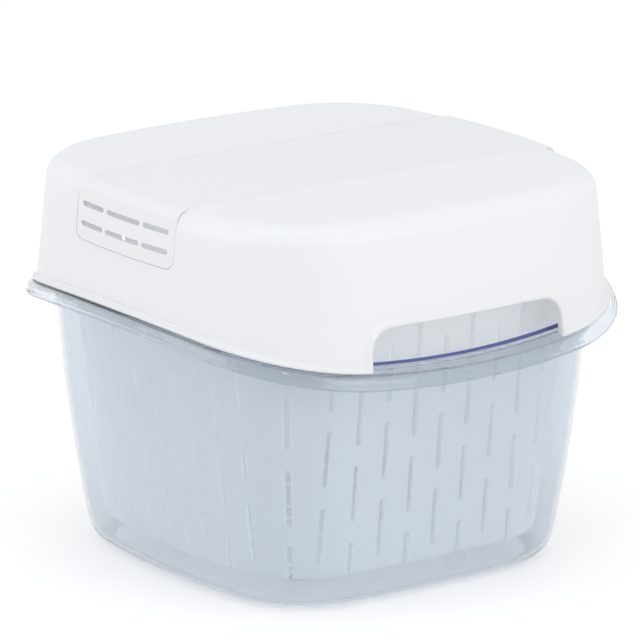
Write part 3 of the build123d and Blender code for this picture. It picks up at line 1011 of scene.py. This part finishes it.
# %% Windows behind the slots
VENT_HEIGHT = 2.7 * MM
VENT_SIDE = 20.9 * MM
VENT_MIDDLE = 30.0 * MM
VENT_GAP = 2.5 * MM
VENT_LOW = 183.1 * MM
VENT_RISE = 10.2 * MM
WINDOW_MARGIN = 1.5 * MM
BAR_CORNER_POINTS = 5


def bar_loop(width, height, radius, z):
    """Rounded rectangle in the X-Z plane, as a loop at y = -REACH."""
    points = []
    for sx, sz, start in ((1, 1, 0), (-1, 1, 90), (-1, -1, 180), (1, -1, 270)):
        turn = np.radians(np.linspace(start, start + 90, BAR_CORNER_POINTS))
        centre = np.array([sx * (width / 2 - radius), z + sz * (height / 2 - radius)])
        points.append(centre + radius * np.stack([np.cos(turn), np.sin(turn)], -1))
    flat = np.concatenate(points)
    return np.column_stack([flat[:, 0], np.full(len(flat), -REACH), flat[:, 1]])


vent_width = 2 * VENT_SIDE + VENT_MIDDLE + 2 * VENT_GAP
window_width = vent_width + 2 * WINDOW_MARGIN
window_height = VENT_RISE + VENT_HEIGHT + 2 * WINDOW_MARGIN
window = bar_loop(window_width, window_height, VENT_HEIGHT, VENT_LOW + VENT_RISE / 2)
for opened in (lid, pad):
    carve(opened, prism_mesh("window_cutter", [window], [np.array([0, 2 * REACH, 0])]))
dress(lid, white_plastic, "lid", "white_plastic", "lid_shell")
dress(pad, white_plastic, "lid", "white_plastic")

# %% [markdown]
# A raised lip stiffens the edge of each cut-out. A bevel on the cut hood could round that edge, but a
# boolean leaves uneven faces there. So the lip is a rounded section of its own, carried along the arch on
# the bowed wall.

# %% Lips
JAMB_ROWS = 16
ARCH_POINTS = 17
JAMB_SEARCH = 8.0 * MM


def capped(grid):
    """The grid with a row at each end that shrinks to the middle of its section, which closes the ends."""
    ends = [np.broadcast_to(grid[row].mean(0), (1, grid.shape[1], 3)) for row in (0, -1)]
    return np.concatenate([ends[0], grid, ends[1]])


def wall_point(side, length, z, off):
    """Point on the hood's wall at a length along the outline from the middle of an X side, raised by off."""
    turn = length / QUARTER_LENGTH
    xy = outline(RIM - (wall_inset(z) - off)[..., None], turn) * [side, 1]
    return np.concatenate([xy, z[..., None]], -1)


def lip_grid(side):
    """Grid of the lip: a rounded section carried along the arch, from jamb foot to jamb foot."""
    section = [
        (0.0, -LID_WALL), (0.0, -0.2 * MM), (0.25 * MM, 0.5 * MM), (0.8 * MM, 0.95 * MM),
        (1.7 * MM, LIP_HEIGHT), (2.8 * MM, 1.1 * MM), (3.8 * MM, 0.7 * MM), (4.6 * MM, 0.25 * MM),
        (5.4 * MM, -0.05 * MM), (5.4 * MM, -0.6 * MM), (3.0 * MM, -LID_WALL - 0.05 * MM),
    ]
    columns = []
    for grow, off in section + section[:1]:
        flat = arch(grow, 0.0, ARCH_POINTS)
        jamb = flat[1]
        near_foot = wall_point(side, jamb[:1], np.array([SEAT_Z - JAMB_SEARCH]), np.array([off]))
        foot = SEAT_Z + wave(near_foot)[0]
        down = np.column_stack([np.full(JAMB_ROWS, jamb[0]), np.linspace(foot, jamb[1], JAMB_ROWS)])
        line = np.concatenate([down, flat[2:-2], (down * [-1, 1])[::-1]])
        columns.append(wall_point(side, line[:, 0], line[:, 1], np.full(len(line), off)))
    return capped(np.stack(columns, 1))


for side, word in ((1, "right"), (-1, "left")):
    lip = piece_from_grids("lid_lip_" + word, [lip_grid(side)], sharp=60)
    dress(lip, white_plastic, "lid", "white_plastic")

# %% [markdown]
# A small foot runs round the lid's lower edge from cut-out to cut-out, just above the flange. It is one
# section carried along the outline, with the wave added to its height, so that the lid follows the rim with
# an even gap.

# %% Foot
FOOT_COLUMNS = 160
JAMB_CLEARANCE = 1.5 * MM
foot_start = (GRIP_HALF + JAMB_CLEARANCE) / QUARTER_LENGTH
foot_section = [
    (8.3, 0.3), (4.2, 0.0), (3.7, 0.35), (3.6, 0.9), (3.8, 1.5),
    (4.3, 2.0), (4.9, 2.2), (5.5, 2.6), (6.1, 3.5), (8.3, 3.5),
]
for first, word in ((foot_start, "back"), (2 + foot_start, "front")):
    turns = np.linspace(first, first + 2 - 2 * foot_start, FOOT_COLUMNS)
    insets, rises = np.array(foot_section + foot_section[:1]).T * MM
    xy = outline(RIM - insets[None, :, None], turns[:, None])
    grid = np.concatenate([xy, (SEAT_Z + wave(xy) + rises[None, :])[..., None]], -1)
    foot = piece_from_grids("lid_foot_" + word, [capped(grid)], sharp=60)
    dress(foot, white_plastic, "lid", "white_plastic")

# %% [markdown]
# The vent band is a separate strip that lies in the recess, flush with the hood's top and walls. It could
# be drawn as two seams on the hood, but its own tight bend stands proud at the edge and catches the light.
# Its slots have round ends and go right through, in two rows of three at each end. A radius of exactly half
# their height would give the cutter doubled points, so each end keeps a tiny flat.

# %% Vent band
BAND_EASE = 0.35 * MM
SLOT_END_FLAT = 0.01 * MM
side_at = (VENT_MIDDLE + VENT_SIDE) / 2 + VENT_GAP
band = band_slab("vent_strip", 0.0, 0.0, BAND_THICK, BAND_EASE)
slot_loops = []
for row in range(2):
    z = VENT_LOW + row * VENT_RISE
    for middle, length in ((0.0, VENT_MIDDLE), (-side_at, VENT_SIDE), (side_at, VENT_SIDE)):
        loop = bar_loop(length, VENT_HEIGHT, VENT_HEIGHT / 2 - SLOT_END_FLAT, z)
        slot_loops.append(loop + [middle, 0, 0])
carve(band, prism_mesh("vent_cutter", slot_loops, [np.array([0, 2 * REACH, 0])] * len(slot_loops)))
dress(band, white_plastic, "lid", "white_band", "vent_band")

# %% [markdown]
# The last cell prints both boxes. A dressed piece that reached past the CAD part would touch what the part
# is placed beside, so the dressed object has to stay inside the CAD part's box.

# %% Sizes and finish
visual_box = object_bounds()
for word, box in (("cad", cad_box), ("visual", visual_box)):
    print(word, [[round(v / MM, 2) for v in corner] for corner in box])
